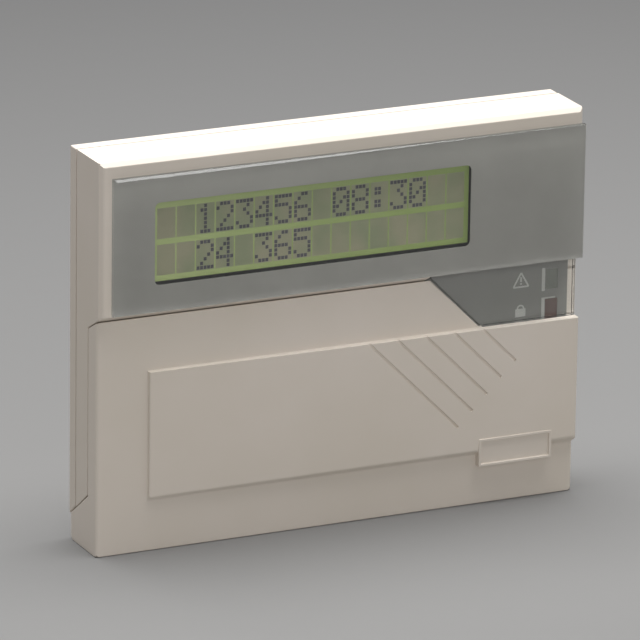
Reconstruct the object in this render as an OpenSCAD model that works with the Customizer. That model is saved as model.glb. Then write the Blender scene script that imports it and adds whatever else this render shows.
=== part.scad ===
// Wall-mounted alarm keypad. A back plate and a front housing snap together round a circuit
// board. A clear lens covers a 16 x 2 character display and two status lights, and a fold-down
// door covers the keys.
//
// X runs across the panel, the front faces -Y and +Z is up. The origin is the centre of the
// back plate's wall face. Every piece is drawn by its depth in front of the wall and its height
// above the door's bottom edge, and hung() then moves it into that frame.

/* [Housing] */
// Width of the panel
panel_w = 152; // [150:1:184]
// Height from the door's bottom edge to the top face
panel_h = 117.5; // [116:0.5:142]
// Depth from the wall to the housing's front face
front_d = 22; // [21.5:0.1:26.5]
// Depth from the wall to the seam between the back plate and the housing
seam_d = 5; // [4.4:0.1:6]
// Thickness of the moulded walls
wall = 2; // [1.7:0.05:2.4]
// Chamfer along the housing's front edges at the sides
edge_chamfer = 1.1; // [0.6:0.1:1.8]
// Chamfer along the housing's upper front edge
top_chamfer = 1.2; // [0.4:0.1:1.8]
// Bevel round the back of the back plate
rear_bevel = 0.6; // [0.4:0.1:1]
// Clearance between parts that snap or slot together
clearance = 0.3; // [0.2:0.05:0.5]

/* [Door] */
// Height of the door's top edge
door_h = 70.4; // [69.5:0.1:72]
// Height of the door's ridge at the right, below the status lights
door_low_h = 54; // [52:0.5:56]
// Width of the door's low part, at the right
door_low_w = 31; // [29:0.5:35]
// How far the door's face lies behind the housing's front face
door_step = 2.2; // [1.8:0.1:3]
// Thickness of the door's front wall
door_wall = 1.8; // [1.4:0.1:2]
// Gap between the door and the housing
door_gap = 0.4; // [0.3:0.05:0.6]
// Radius of the door's hinge pins
hinge_pin_r = 1.25; // [0.9:0.05:1.3]
// Radial running clearance of the hinge pins
hinge_clearance = 0.06; // [0.03:0.01:0.1]

/* [Display] */
// Width of the display's viewing area
view_w = 99; // [96:0.5:99.5]
// Height of the display's viewing area
view_h = 24; // [22:0.5:25]
// How far the clear lens stands in front of the housing
lens_proud = 2.4; // [2:0.1:3]
// Width of the border left of and above the lens
lens_border = 3.5; // [3:0.1:5]

/* [Keypad] */
// Width of a number key
key_w = 12.5; // [10:0.5:13]
// Height of a key
key_h = 8.5; // [7:0.25:9]
// Spacing of the key rows
key_row = 11.5; // [11.3:0.1:12]
// Spacing of the number columns
key_column = 16; // [15.5:0.1:17]
// Travel of a key
key_travel = 1; // [0.6:0.05:1.05]
// Gap between a key and its hole
key_gap = 0.35; // [0.3:0.05:0.6]

/* [Wall fixing] */
// Radius of the wall screw holes
wall_hole_r = 2.25; // [1.75:0.05:2.75]
// Sideways spacing of the wall screw holes
wall_holes_x = 120; // [100:1:124]
// Upright spacing of the wall screw holes
wall_holes_z = 70; // [64:1:76]
// Width of the cable entry
cable_w = 30; // [20:1:36]
// Height of the cable entry
cable_h = 20; // [16:1:24]

/* [Hidden] */
$fn = 48;
cut = 1;                       // overrun of a cut past the surface that it opens
left = -panel_w / 2;
right = panel_w / 2;
beige = [0.80, 0.77, 0.71];
key_white = [0.88, 0.87, 0.83];

plate_rim = 3;                             // thickness of the back plate's rim
// Depths from the wall
door_front_d = front_d - door_step;
door_in_d = door_front_d - door_wall;
side_step_d = door_front_d - 6.4;          // where the door's side walls end
led_face_d = door_in_d - 2;                // face round the status lights
field_d = led_face_d - 1;                  // sunken face round the keys
key_top_d = led_face_d + 0.3;              // just proud of the face round the keys
board_d = field_d - wall - 3.4;            // front of the circuit board
board_t = 1.6;
board_rear_d = board_d - board_t;
lcd_front_d = front_d - wall;
bezel_t = 0.5;
glass_t = 2.2;
glass_d = lcd_front_d - bezel_t;           // front of the display glass
lcd_board_d = glass_d - glass_t - 3.3;     // front of the display's own board
mask_t = 0.2;
thin_lens_t = 1;                           // thickness of the thin part of the lens
thin_lens_d = led_face_d + mask_t + thin_lens_t;

// Heights above the door's bottom edge
foot_rear_h = 7.2;
foot_side_h = 17;
hang_h = (foot_rear_h + panel_h) / 2;      // height of the origin
lens_top = panel_h - lens_border - 1;
lens_low = door_h + 2.2;                   // lower edge of the thick part of the lens
lens_end_h = door_low_h - 4;               // lower end of the thin part, behind the door
lcd_z = (lens_top + lens_low) / 2;
lcd_x = left + 66.3;

// The housing's slanted lower end, and the slanted top of the door
function foot_z(d) = foot_rear_h + (foot_side_h - foot_rear_h) * d / side_step_d;
function door_top_z(d) = door_h - 0.578 * (door_front_d - d);
// Depth of the raised panel's face, which leans out towards the right
function raised_d(x) = door_front_d + panel_rise + (door_step - panel_rise) * (x - panel_x0) / (right - panel_x0);
slant = atan2(foot_side_h - foot_rear_h, side_step_d);
foot_gap = door_gap / cos(slant);
wall_up = wall / cos(slant);               // wall thickness measured upright on the slant

// Door
hinge_d = seam_d;
hinge_z = 4.2;
foot_back_d = 1.8;                         // back of the door's foot
foot_floor = 1.6;
lug_r = 2.2;
lug_x = right - 9.4;
lug_w = 4;
boss_r = 2.8;
boss_w = 3;
panel_x0 = left + 16;                      // raised panel on the door's face
panel_z0 = foot_side_h;
panel_rise = 1.1;                          // height of the raised panel at its left end
panel_ramp = 1.6;                          // height of the slope along its lower edge
groove_w = 0.7;
groove_depth = 0.45;
groove_pitch = 9.1;

// Status lights
led_w = 4;
led_h = 6;
pipe_rim = 0.5;                            // rim of a light pipe behind its window
led_x = right - 2 * wall - door_gap - led_w / 2 - pipe_rim - 0.2;
led_rows = [door_low_h + 11.5, door_low_h + 2.5];
lens_low_x = right - 48;                   // left end of the thin part of the lens

// Keys: name, centre x, row, width
row_z = [for (r = [0:3]) 27 + r * key_row];
digit_x = [for (c = [0:2]) left + 41 + c * key_column];
alert_x = left + 17;
mode_x = digit_x[2] + 20;
scroll_x = [right - 34, right - 16];
KEYS = [
    ["key_1", digit_x[0], 3, key_w], ["key_2", digit_x[1], 3, key_w], ["key_3", digit_x[2], 3, key_w],
    ["key_4", digit_x[0], 2, key_w], ["key_5", digit_x[1], 2, key_w], ["key_6", digit_x[2], 2, key_w],
    ["key_7", digit_x[0], 1, key_w], ["key_8", digit_x[1], 1, key_w], ["key_9", digit_x[2], 1, key_w],
    ["key_star", digit_x[0], 0, key_w], ["key_0", digit_x[1], 0, key_w], ["key_hash", digit_x[2], 0, key_w],
    ["key_fire", alert_x, 3, 14], ["key_aid", alert_x, 2, 14], ["key_panic", alert_x, 1, 14],
    ["key_stay", mode_x, 3, 14], ["key_away", mode_x, 2, 14],
    ["key_chime", mode_x, 1, 14], ["key_bypass", mode_x, 0, 14],
    ["key_left", scroll_x[0], 1, 14], ["key_right", scroll_x[1], 1, 14],
    ["key_enter", scroll_x[0], 0, 14], ["key_exit", scroll_x[1], 0, 14]
];
key_flange = 1;                            // rim that holds a key behind the housing
key_r = 1.2;
key_pill_r = 2.6;
mat_t = 1;
field_z0 = row_z[0] - key_h / 2 - 1.6;
field_x = [left + 8, mode_x + 9.5];
scroll_field_x = [scroll_x[0] - 8.2, scroll_x[1] + 8.2];
scroll_field_z1 = row_z[1] + key_h / 2 + 1.6;

// Board fixings
boss_x = [left + 5.2, right - 5.2];
board_boss_z = [24, panel_h - 9];
board_boss_r = 2.4;
pilot_r = 1.25;
screw_r = 1.2;
lcd_board_w = 116;
lcd_board_h = 40;
lcd_screw = [55, 17];                      // screw offsets from the display's centre

// Tamper switch
tamper_x = right - 31;
tamper_z = 36;
plunger_r = 1.6;
plunger_travel = 1.2;

// ---- helpers ----------------------------------------------------------------------------

// Moves a piece from height above the door's bottom edge into the wall-centred frame
module hung() translate([0, 0, -hang_h]) children();

// Extrudes an (x, height) outline from depth d0 to depth d1
module across(d0, d1) translate([0, -d0, 0]) rotate([90, 0, 0]) linear_extrude(d1 - d0) children();

// Extrudes a (depth, height) profile from x0 to x1
module along(x0, x1)
    translate([x1, 0, 0]) rotate([0, 0, -90]) rotate([90, 0, 0]) linear_extrude(x1 - x0) children();

// Box between two x values, two depths and two heights
module slab(x0, x1, d0, d1, z0, z1) translate([x0, -d1, z0]) cube([x1 - x0, d1 - d0, z1 - z0]);

// Box centred on (x, z)
module block(x, z, w, h, d0, d1) slab(x - w / 2, x + w / 2, d0, d1, z - h / 2, z + h / 2);

// Round peg or hole along the depth
module peg(x, z, r, d0, d1) translate([x, -d0, z]) rotate([90, 0, 0]) cylinder(r = r, h = d1 - d0);

// Round bar along X, at a depth and a height
module bar(d, z, r, x0, x1) translate([x0, -d, z]) rotate([0, 90, 0]) cylinder(r = r, h = x1 - x0);

// Rectangle with round corners, centred
module rounded(w, h, r) {
    square([w - 2 * r, h], center = true);
    square([w, h - 2 * r], center = true);
    for (x = [-1, 1], z = [-1, 1]) translate([x * (w / 2 - r), z * (h / 2 - r)]) circle(r = r, $fn = 24);
}

// Plan of the panel with its front corners cut, from the wall to a given depth
module plan(d, c) polygon([[left, cut], [left, -d + c], [left + c, -d], [right - c, -d], [right, -d + c], [right, cut]]);

// ---- back plate and housing -------------------------------------------------------------

module back_plate() color(beige) difference() {
    intersection() {
        along(left, right) polygon([
            [0, foot_z(0)], [seam_d, foot_z(seam_d)], [seam_d, panel_h],
            [rear_bevel, panel_h], [0, panel_h - rear_bevel]]);
        linear_extrude(panel_h + cut) polygon([
            [left, -seam_d], [left, -rear_bevel], [left + rear_bevel, 0],
            [right - rear_bevel, 0], [right, -rear_bevel], [right, -seam_d]]);
    }
    along(left + plate_rim, right - plate_rim) polygon([
        [wall, foot_z(wall) + wall_up], [seam_d + cut, foot_z(seam_d + cut) + wall_up],
        [seam_d + cut, panel_h - plate_rim], [wall, panel_h - plate_rim]]);
    for (x = [-1, 1], z = [-1, 1])
        peg(x * wall_holes_x / 2, hang_h + z * wall_holes_z / 2, wall_hole_r, -cut, wall + cut);
    block(0, hang_h, cable_w, cable_h, -cut, wall + cut);
    peg(tamper_x, tamper_z, plunger_r + 0.4, -cut, wall + cut);
}

module housing_shell() intersection() {
    union() {
        along(left, right) polygon([
            [seam_d, foot_z(seam_d)], [side_step_d, foot_z(side_step_d)],
            [side_step_d, door_top_z(side_step_d) + door_gap],
            [front_d, door_top_z(front_d) + door_gap],
            [front_d, panel_h - top_chamfer], [front_d - top_chamfer, panel_h], [seam_d, panel_h]]);
        along(left + wall + door_gap, right - wall - door_gap) polygon([
            [side_step_d - cut, foot_z(side_step_d - cut)], [led_face_d, foot_z(led_face_d)],
            [led_face_d, door_top_z(led_face_d) + cut], [side_step_d - cut, door_top_z(side_step_d) + cut]]);
        slab(right - 2 * wall, right, side_step_d - cut, led_face_d,
             door_low_h + door_gap, door_top_z(side_step_d) + cut);
    }
    linear_extrude(panel_h + cut) plan(front_d, edge_chamfer);
}

module housing_hollow() {
    step_in_d = side_step_d - wall;
    led_in_d = led_face_d - wall;
    along(left + wall, right - wall) polygon([
        [seam_d - cut, foot_z(seam_d - cut) + wall_up], [step_in_d, foot_z(step_in_d) + wall_up],
        [step_in_d, panel_h - wall], [seam_d - cut, panel_h - wall]]);
    along(left + 2 * wall + door_gap, right - 2 * wall - door_gap) polygon([
        [step_in_d - cut, foot_z(step_in_d - cut) + wall_up], [led_in_d, foot_z(led_in_d) + wall_up],
        [led_in_d, panel_h / 2 + 20], [step_in_d - cut, panel_h / 2 + 20]]);
    along(left + wall, lens_low_x - wall) polygon([
        [step_in_d - cut, door_top_z(side_step_d) + wall_up], [side_step_d, door_top_z(side_step_d) + wall_up],
        [lcd_front_d, door_top_z(lcd_front_d) + wall_up + door_gap],
        [lcd_front_d, panel_h - wall], [step_in_d - cut, panel_h - wall]]);
    slab(lens_low_x - wall - cut, right - wall, step_in_d - cut, led_in_d, door_h, panel_h - wall);
    slab(lens_low_x - wall - cut, right - wall, step_in_d - cut, lcd_front_d,
         lens_low + 1.7 + wall, panel_h - wall);
}

// Lug that carries a hinge pin, below the slanted lower end
module hinge_lug(x0) difference() {
    along(x0, x0 + lug_w) union() {
        translate([hinge_d, hinge_z]) circle(r = lug_r);
        polygon([[hinge_d - lug_r + 0.1, hinge_z], [hinge_d + lug_r - 0.1, hinge_z],
            [hinge_d + 4.6, foot_z(hinge_d + 4.6) + cut], [hinge_d + 0.6, foot_z(hinge_d + 0.6) + cut]]);
    }
    bar(hinge_d, hinge_z, hinge_pin_r + hinge_clearance, x0 - cut, x0 + lug_w + cut);
}

module front_housing() color(beige) {
    difference() {
        union() {
            difference() {
                housing_shell();
                housing_hollow();
            }
            slab(field_x[0] - 1, field_x[1] + 1, field_d - wall, led_face_d - 0.5,
                 field_z0 - 1, row_z[3] + key_h / 2 + 1.6);
            slab(scroll_field_x[0] - 1, scroll_field_x[1] + 1, field_d - wall, led_face_d - 0.5,
                 field_z0 - 1, scroll_field_z1 + 1);
            for (x = boss_x) {
                peg(x, board_boss_z[0], board_boss_r, board_d, led_face_d - 0.5);
                peg(x, board_boss_z[1], board_boss_r, board_d, lcd_front_d + 0.5);
            }
            for (x = [-1, 1], z = [-1, 1])
                peg(lcd_x + x * lcd_screw[0], lcd_z + z * lcd_screw[1], 2, lcd_board_d, lcd_front_d + 0.5);
        }
        // recess for the thin part of the lens, and the sunken key fields
        slab(lens_low_x - clearance, right + cut, led_face_d, front_d + cut, lens_end_h - 0.5, lens_low + 1.7);
        slab(field_x[0], field_x[1], field_d, led_face_d + cut, field_z0, row_z[3] + key_h / 2 + 1.6);
        slab(scroll_field_x[0], scroll_field_x[1], field_d, led_face_d + cut, field_z0, scroll_field_z1);
        // windows, key holes and screw holes
        block(lcd_x, lcd_z, view_w + 2.5, view_h + 2.5, lcd_front_d - cut, front_d + cut);
        for (z = led_rows) block(led_x, z, led_w + 0.2, led_h + 0.2, led_face_d - wall - cut, led_face_d + cut);
        for (k = KEYS) across(field_d - wall - cut, field_d + cut) translate([k[1], row_z[k[2]]])
            rounded(k[3] + 2 * key_gap, key_h + 2 * key_gap, key_r);
        for (x = boss_x, z = board_boss_z) peg(x, z, pilot_r, board_d - cut, board_d + 3);
        for (x = [-1, 1], z = [-1, 1])
            peg(lcd_x + x * lcd_screw[0], lcd_z + z * lcd_screw[1], pilot_r, lcd_board_d - cut, lcd_board_d + 3);
    }
    hinge_lug(-lug_x - lug_w);
    hinge_lug(lug_x);
}

// ---- door -------------------------------------------------------------------------------

module door_outline() polygon([
    [left, 0], [right, 0], [right, door_low_h], [right - door_low_w, door_low_h],
    [right - door_low_w - (door_h - door_low_h), door_h], [left, door_h]]);

// Raised panel on the door's face. It leans out to the right and slopes back along its lower edge
module raised_panel() intersection() {
    linear_extrude(door_low_h) polygon([
        [panel_x0, -door_front_d + 0.5], [panel_x0, -door_front_d - panel_rise],
        [right, -front_d], [right, -door_front_d + 0.5]]);
    along(left, right + cut) polygon([
        [door_front_d - cut, panel_z0 - panel_ramp], [door_front_d, panel_z0 - panel_ramp],
        [front_d, panel_z0], [front_d + cut, panel_z0], [front_d + cut, door_h], [door_front_d - cut, door_h]]);
}

module door_body() difference() {
    union() {
        intersection() {
            along(left, right) polygon([
                [door_front_d, 0], [door_front_d, door_h],
                [side_step_d + door_gap, door_top_z(side_step_d + door_gap)],
                [side_step_d + door_gap, foot_z(side_step_d + door_gap) - foot_gap],
                [foot_back_d, foot_z(foot_back_d) - foot_gap], [foot_back_d, 1], [foot_back_d + 1, 0]]);
            linear_extrude(door_h) plan(door_front_d, 0.6);
            across(0, front_d) door_outline();
        }
        raised_panel();
        block(right - 19.8, panel_z0 - 0.8, 23.6, 8.4, door_front_d - 0.5, front_d + 0.1);
    }
    along(left + wall, right - wall) polygon([
        [-cut, foot_floor], [door_in_d, foot_floor], [door_in_d, door_top_z(door_in_d) - wall],
        [led_face_d + door_gap, door_top_z(led_face_d) - wall], [led_face_d + door_gap, door_h + cut],
        [-cut, door_h + cut]]);
    // room behind the cut corner for the thin part of the lens
    slab(lens_low_x - 2 * door_gap, right - wall, led_face_d, thin_lens_d + door_gap, door_low_h + cut, door_h + cut);
    // shallow grooves that run down from the ridge
    for (i = [0:4]) {
        x = panel_x0 + 68.6 + i * groove_pitch;
        groove_l = 41 - i * 6.45;
        translate([x, -front_d - cut, door_low_h]) rotate([0, 45, 0]) translate([-1, 0, -groove_w / 2])
            cube([groove_l + 1, front_d + cut - raised_d(x + groove_l / 3) + groove_depth, groove_w]);
    }
    // sunken face of the badge plate
    block(right - 19.8, panel_z0 - 0.8, 22, 6.8, front_d - 0.5, front_d + cut);
}

module door() color(beige) {
    difference() {
        union() {
            door_body();
            for (s = [0, 1]) mirror([s, 0, 0])
                bar(hinge_d, hinge_z, boss_r, right - wall - boss_w, right - wall + 0.5);
        }
        for (s = [0, 1]) mirror([s, 0, 0])
            bar(hinge_d, hinge_z, hinge_pin_r + 0.01, right - wall - boss_w - cut, right - 0.8);
    }
}

module door_hinge_pins() color("silver") for (s = [0, 1]) mirror([s, 0, 0])
    bar(hinge_d, hinge_z, hinge_pin_r, lug_x + 0.4, right - 0.9);

module door_label() color("white")
    slab(left + 12, field_x[1] - 4, door_in_d - clearance, door_in_d, row_z[0] - 2, row_z[2] + 4);

// ---- lens and display -------------------------------------------------------------------

module display_lens() color([0.55, 0.56, 0.54, 0.5]) union() {
    lens_d = front_d + lens_proud;
    c = 0.8;
    x0 = left + lens_border;
    intersection() {
        across(front_d + mask_t, lens_d) polygon([[x0, lens_low], [right, lens_low], [right, lens_top], [x0, lens_top]]);
        along(left, right) polygon([
            [front_d, lens_low], [lens_d - c, lens_low], [lens_d, lens_low + c],
            [lens_d, lens_top - c], [lens_d - c, lens_top], [front_d, lens_top]]);
        linear_extrude(panel_h) polygon([
            [x0, 0], [x0, -lens_d + c], [x0 + c, -lens_d], [right - c, -lens_d], [right, -lens_d + c], [right, 0]]);
    }
    slab(lens_low_x, right - 0.4, led_face_d + mask_t, front_d + mask_t + 0.5, lens_low, lens_low + 1.5);
    slab(lens_low_x, right - 0.4, led_face_d + mask_t, thin_lens_d, door_low_h + door_gap, lens_low + 1.5);
    slab(lens_low_x, right - wall - 2 * door_gap, led_face_d + mask_t, thin_lens_d, lens_end_h, door_low_h + cut);
}

module lens_mask() color([0.42, 0.42, 0.40]) {
    across(front_d, front_d + mask_t) difference() {
        translate([left + lens_border + 0.6, lens_low + 1.8])
            square([right - 1.4 - left - lens_border - 0.6, lens_top - 0.6 - lens_low - 1.8]);
        translate([lcd_x, lcd_z]) rounded(view_w - 0.6, view_h - 0.2, 1.6);
    }
    across(led_face_d, led_face_d + mask_t) difference() {
        union() {
            translate([lens_low_x + 0.4, door_low_h + door_gap])
                square([right - 2 - lens_low_x - 0.4, lens_low + 1.4 - door_low_h - door_gap]);
            translate([lens_low_x + 0.4, lens_end_h + 0.4])
                square([right - wall - 2 * door_gap - lens_low_x - 0.8, door_low_h - lens_end_h]);
        }
        for (z = led_rows) translate([led_x, z]) square([led_w, led_h], center = true);
    }
}

module lcd_bezel() color("silver") difference() {
    block(lcd_x, lcd_z, 105.6, 31.6, lcd_board_d, lcd_front_d);
    block(lcd_x, lcd_z, 104.6, 30.6, lcd_board_d - cut, glass_d);
    block(lcd_x, lcd_z, view_w + 0.5, view_h + 0.3, glass_d - cut, lcd_front_d + cut);
}

module lcd_glass() color([0.45, 0.50, 0.28]) block(lcd_x, lcd_z, 104, 30, glass_d - glass_t, glass_d);

module lcd_light_guide() color([0.85, 0.95, 0.6])
    block(lcd_x, lcd_z, 98, 22, lcd_board_d + 0.3, glass_d - glass_t - 0.1);

module lcd_backlights() color("yellowgreen")
    for (x = [-1, 1], z = [-7.5:5:7.5]) block(lcd_x + x * 50.4, lcd_z + z, 2, 3, lcd_board_d, lcd_board_d + 2);

module lcd_contact_strips() color([0.25, 0.25, 0.27])
    for (z = [-1, 1]) block(lcd_x, lcd_z + z * 13, 96, 2.4, lcd_board_d, glass_d - glass_t);

module lcd_board() color("seagreen") difference() {
    block(lcd_x, lcd_z, lcd_board_w, lcd_board_h, lcd_board_d - board_t, lcd_board_d);
    for (x = [-1, 1], z = [-1, 1])
        peg(lcd_x + x * lcd_screw[0], lcd_z + z * lcd_screw[1], 1.5, lcd_board_d - board_t - cut, lcd_board_d + cut);
}

module lcd_header() color([0.1, 0.1, 0.1])
    block(lcd_x - 20, lcd_z + 17.5, 41, 2.5, board_d, lcd_board_d - board_t);

// Pan-head screw that enters from the back, with its head against depth d
module screw(x, z, d, grip) {
    peg(x, z, screw_r, d - 0.1, d + grip);
    peg(x, z, 2.2, d - 1.4, d);
}

module lcd_screws() color("silver") for (x = [-1, 1], z = [-1, 1])
    screw(lcd_x + x * lcd_screw[0], lcd_z + z * lcd_screw[1], lcd_board_d - board_t, board_t + 2.6);

// ---- circuit board ----------------------------------------------------------------------

module circuit_board() color("seagreen") difference() {
    slab(left + 3.2, right - 3.2, board_rear_d, board_d, 19.5, panel_h - 4);
    for (x = boss_x, z = board_boss_z) peg(x, z, 1.5, board_rear_d - cut, board_d + cut);
}

module board_screws() color("silver") for (x = boss_x, z = board_boss_z) screw(x, z, board_rear_d, board_t + 2.6);

module key_mat() color([0.82, 0.82, 0.80]) difference() {
    union() {
        slab(field_x[0], field_x[1], board_d, board_d + mat_t, field_z0, row_z[3] + key_h / 2 + 1.6);
        slab(field_x[1] - cut, scroll_field_x[1], board_d, board_d + mat_t, field_z0, scroll_field_z1);
    }
    for (k = KEYS) peg(k[1], row_z[k[2]], key_pill_r + 0.6, board_d - cut, board_d + mat_t + cut);
}

module key_contacts() color([0.15, 0.15, 0.15])
    for (k = KEYS) peg(k[1], row_z[k[2]], key_pill_r, board_d, board_d + 0.05);

module keycap(k) color(key_white) translate([k[1], 0, row_z[k[2]]]) {
    flange_d = field_d - wall;
    across(flange_d - key_flange, flange_d) square([k[3] + 2.4, key_h + 2.4], center = true);
    across(flange_d, key_top_d - 0.4) rounded(k[3], key_h, key_r);
    across(key_top_d - 0.4, key_top_d) rounded(k[3] - 0.8, key_h - 0.8, key_r - 0.2);
    peg(0, 0, key_pill_r, board_d + key_travel + clearance, flange_d - key_flange);
}

module status_led(z, c) color(c) {
    block(led_x, z, led_w - 0.5, led_h - 1, board_d, board_d + 1.2);
    peg(led_x, z, 1.4, board_d + 1.2, board_d + 2);
}

module light_pipe(z, c) color(c) {
    block(led_x, z, led_w, led_h, led_face_d - wall, led_face_d);
    block(led_x, z, led_w + 2 * pipe_rim, led_h + 1.4, led_face_d - wall - 0.8, led_face_d - wall);
    block(led_x, z, led_w - 1, led_h - 1, board_d + 2.2, led_face_d - wall - 0.8);
}

module terminal_block() color([0.2, 0.5, 0.3]) difference() {
    block(0, 84, 21, 9, board_rear_d - 5.2, board_rear_d);
    for (i = [0:3]) {
        x = -7.5 + i * 5;
        peg(x, 84.6, 1.75, board_rear_d - 5.2 - cut, board_rear_d - 1.6);
        block(x, 79.5, 3, 4, board_rear_d - 4.4, board_rear_d - 1.6);
    }
}

module terminal_screws() color("silver")
    for (i = [0:3]) peg(-7.5 + i * 5, 84.6, 1.65, board_rear_d - 4.6, board_rear_d - 1.6);

module buzzer() color([0.12, 0.12, 0.12]) difference() {
    peg(left + 31, 46, 11, board_rear_d - 4.6, board_rear_d);
    peg(left + 31, 46, 1.5, board_rear_d - 4.6 - cut, board_rear_d - 3);
}

module microcontroller() color([0.16, 0.16, 0.17]) {
    block(right - 34, 88, 16.6, 16.6, board_rear_d - 4.2, board_rear_d - 0.6);
    for (i = [-5:5], s = [-1, 1]) {
        block(right - 34 + i * 1.27, 88 + s * 8.4, 0.5, 0.8, board_rear_d - 2.4, board_rear_d);
        block(right - 34 + s * 8.4, 88 + i * 1.27, 0.8, 0.5, board_rear_d - 2.4, board_rear_d);
    }
}

module voltage_regulator() color([0.25, 0.25, 0.27]) difference() {
    union() {
        block(right - 56, 34, 10, 15, board_rear_d - 1.3, board_rear_d);
        block(right - 56, 31, 10, 9, board_rear_d - 4.4, board_rear_d - 1.3);
    }
    peg(right - 56, 38.5, 1.8, board_rear_d - 1.3 - cut, board_rear_d + cut);
}

module capacitors() color([0.2, 0.22, 0.35])
    for (i = [0:2]) peg(left + 52 + i * 8, 34, 3.1, board_rear_d - 5.2, board_rear_d);

module resistors() color("burlywood")
    for (i = [0:7]) translate([left + 22 + i * 3, -board_rear_d + 0.95, 86]) cylinder(r = 0.9, h = 6);

module crystal() color("silver") across(board_rear_d - 3.5, board_rear_d)
    translate([right - 34, 70]) rounded(11, 4.6, 2.2);

module tamper_switch() color([0.1, 0.1, 0.12]) difference() {
    block(tamper_x, tamper_z, 6.5, 6.5, board_rear_d - 3, board_rear_d);
    peg(tamper_x, tamper_z, plunger_r + 0.05, board_rear_d - 3 - cut, board_rear_d - 0.6);
}

module tamper_plunger() color("red") {
    peg(tamper_x, tamper_z, plunger_r, 0, board_rear_d - 0.9 - plunger_travel);
    peg(tamper_x, tamper_z, plunger_r + 0.9, wall + clearance, wall + clearance + 0.7);
}

// ---- assembly ---------------------------------------------------------------------------

hung() back_plate();
hung() front_housing();
hung() door();
hung() door_hinge_pins();
hung() door_label();
hung() display_lens();
hung() lens_mask();
hung() lcd_bezel();
hung() lcd_glass();
hung() lcd_light_guide();
hung() lcd_backlights();
hung() lcd_contact_strips();
hung() lcd_board();
hung() lcd_header();
hung() lcd_screws();
hung() circuit_board();
hung() board_screws();
hung() key_mat();
hung() key_contacts();
hung() status_led(led_rows[0], "gold");  // trouble_led
hung() status_led(led_rows[1], "red");  // armed_led
hung() light_pipe(led_rows[0], [0.7, 0.65, 0.4]);  // trouble_light_pipe
hung() light_pipe(led_rows[1], [0.5, 0.2, 0.15]);  // armed_light_pipe
hung() terminal_block();
hung() terminal_screws();
hung() buzzer();
hung() microcontroller();
hung() voltage_regulator();
hung() capacitors();
hung() resistors();
hung() crystal();
hung() tamper_switch();
hung() tamper_plunger();
for (k = KEYS) hung() keycap(k);
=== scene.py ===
# %% [markdown]
# # A wall-mounted alarm keypad
#
# The keypad is two beige mouldings snapped together round a circuit board. A clear lens covers a
# two-line display and two status lights, and a door folds down over the keys. This notebook
# loads the engineered parts as a fixed frame, and then gives each of them the rounded edges,
# printing and surface that the real one has.

# %% Load the frame
import math

import bmesh
import bpy
from mathutils import Matrix, Vector


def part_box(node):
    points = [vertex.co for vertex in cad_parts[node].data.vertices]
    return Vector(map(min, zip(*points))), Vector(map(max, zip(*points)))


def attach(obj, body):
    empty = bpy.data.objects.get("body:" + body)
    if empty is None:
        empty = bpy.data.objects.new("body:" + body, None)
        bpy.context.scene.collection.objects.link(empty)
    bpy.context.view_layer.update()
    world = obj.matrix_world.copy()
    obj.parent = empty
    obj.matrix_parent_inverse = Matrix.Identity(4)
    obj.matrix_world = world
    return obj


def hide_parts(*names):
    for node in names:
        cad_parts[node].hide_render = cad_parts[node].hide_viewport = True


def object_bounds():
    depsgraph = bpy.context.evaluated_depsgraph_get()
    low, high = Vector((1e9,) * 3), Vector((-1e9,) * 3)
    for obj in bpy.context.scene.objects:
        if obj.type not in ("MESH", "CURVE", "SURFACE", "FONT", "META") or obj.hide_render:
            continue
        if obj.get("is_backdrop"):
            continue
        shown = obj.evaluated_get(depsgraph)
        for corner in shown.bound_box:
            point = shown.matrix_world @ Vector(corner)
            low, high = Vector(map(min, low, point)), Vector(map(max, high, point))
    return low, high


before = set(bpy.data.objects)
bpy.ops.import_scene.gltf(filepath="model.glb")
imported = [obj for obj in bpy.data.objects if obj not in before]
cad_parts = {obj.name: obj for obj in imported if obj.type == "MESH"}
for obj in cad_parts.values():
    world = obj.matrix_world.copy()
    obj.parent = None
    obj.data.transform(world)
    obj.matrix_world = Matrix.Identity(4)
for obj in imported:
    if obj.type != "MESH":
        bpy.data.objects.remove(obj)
cad_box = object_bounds()
low, high = cad_box
print("frame box in metres:", [round(v, 4) for v in (*low, *high)])

# %% [markdown]
# ## Millimetres, measured the way the maker does
#
# The parts are drawn from the wall outwards and from the foot upwards, so places are written as
# (across, out from the wall, up from the foot) in millimetres. `at` turns such a place into a
# point of the frame, and `span` reads a part's own limits back in the same terms, so that every
# later size comes from the part that it has to fit.

# %% Places in millimetres
MM = 0.001


def at(x, out, up):
    """Point of the frame for a place in millimetres."""
    return Vector((x * MM, -out * MM, low.z + up * MM))


def place(point):
    """Millimetres (across, out, up) of a point of the frame."""
    return point.x / MM, -point.y / MM, (point.z - low.z) / MM


def span(node):
    """Limits (x0, x1, out0, out1, up0, up1) of a part, in millimetres."""
    a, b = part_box(node)
    x0, out1, up0 = place(a)
    x1, out0, up1 = place(b)
    return x0, x1, out0, out1, up0, up1


PANEL_W = (high.x - low.x) / MM
PANEL_H = (high.z - low.z) / MM
print("panel", round(PANEL_W, 1), "x", round(PANEL_H, 1), "mm")

# %% [markdown]
# ## The camera
#
# A long lens from two metres away keeps the panel's edges almost parallel. It stands a little
# left of the panel and looks slightly down on it. The camera is placed from an azimuth, an
# elevation and a distance, because those are the words in which a photographer thinks, and its
# three axes then follow by turning.

# %% Camera
AZIMUTH = math.radians(-25.35)
ELEVATION = math.radians(17.8)
ROLL = math.radians(0.82)
DISTANCE = 1.9764
FOCAL_LENGTH = 386.3
FILM_WIDTH = 36
SIDEWAYS = -2.48
UPWARDS = 0.85


def look(azimuth, elevation, roll):
    """Turn of a camera that looks back along an azimuth and an elevation."""
    turned = Matrix.Rotation(azimuth, 3, "Z") @ Matrix.Rotation(math.pi / 2 - elevation, 3, "X")
    return turned @ Matrix.Rotation(roll, 3, "Z")


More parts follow.
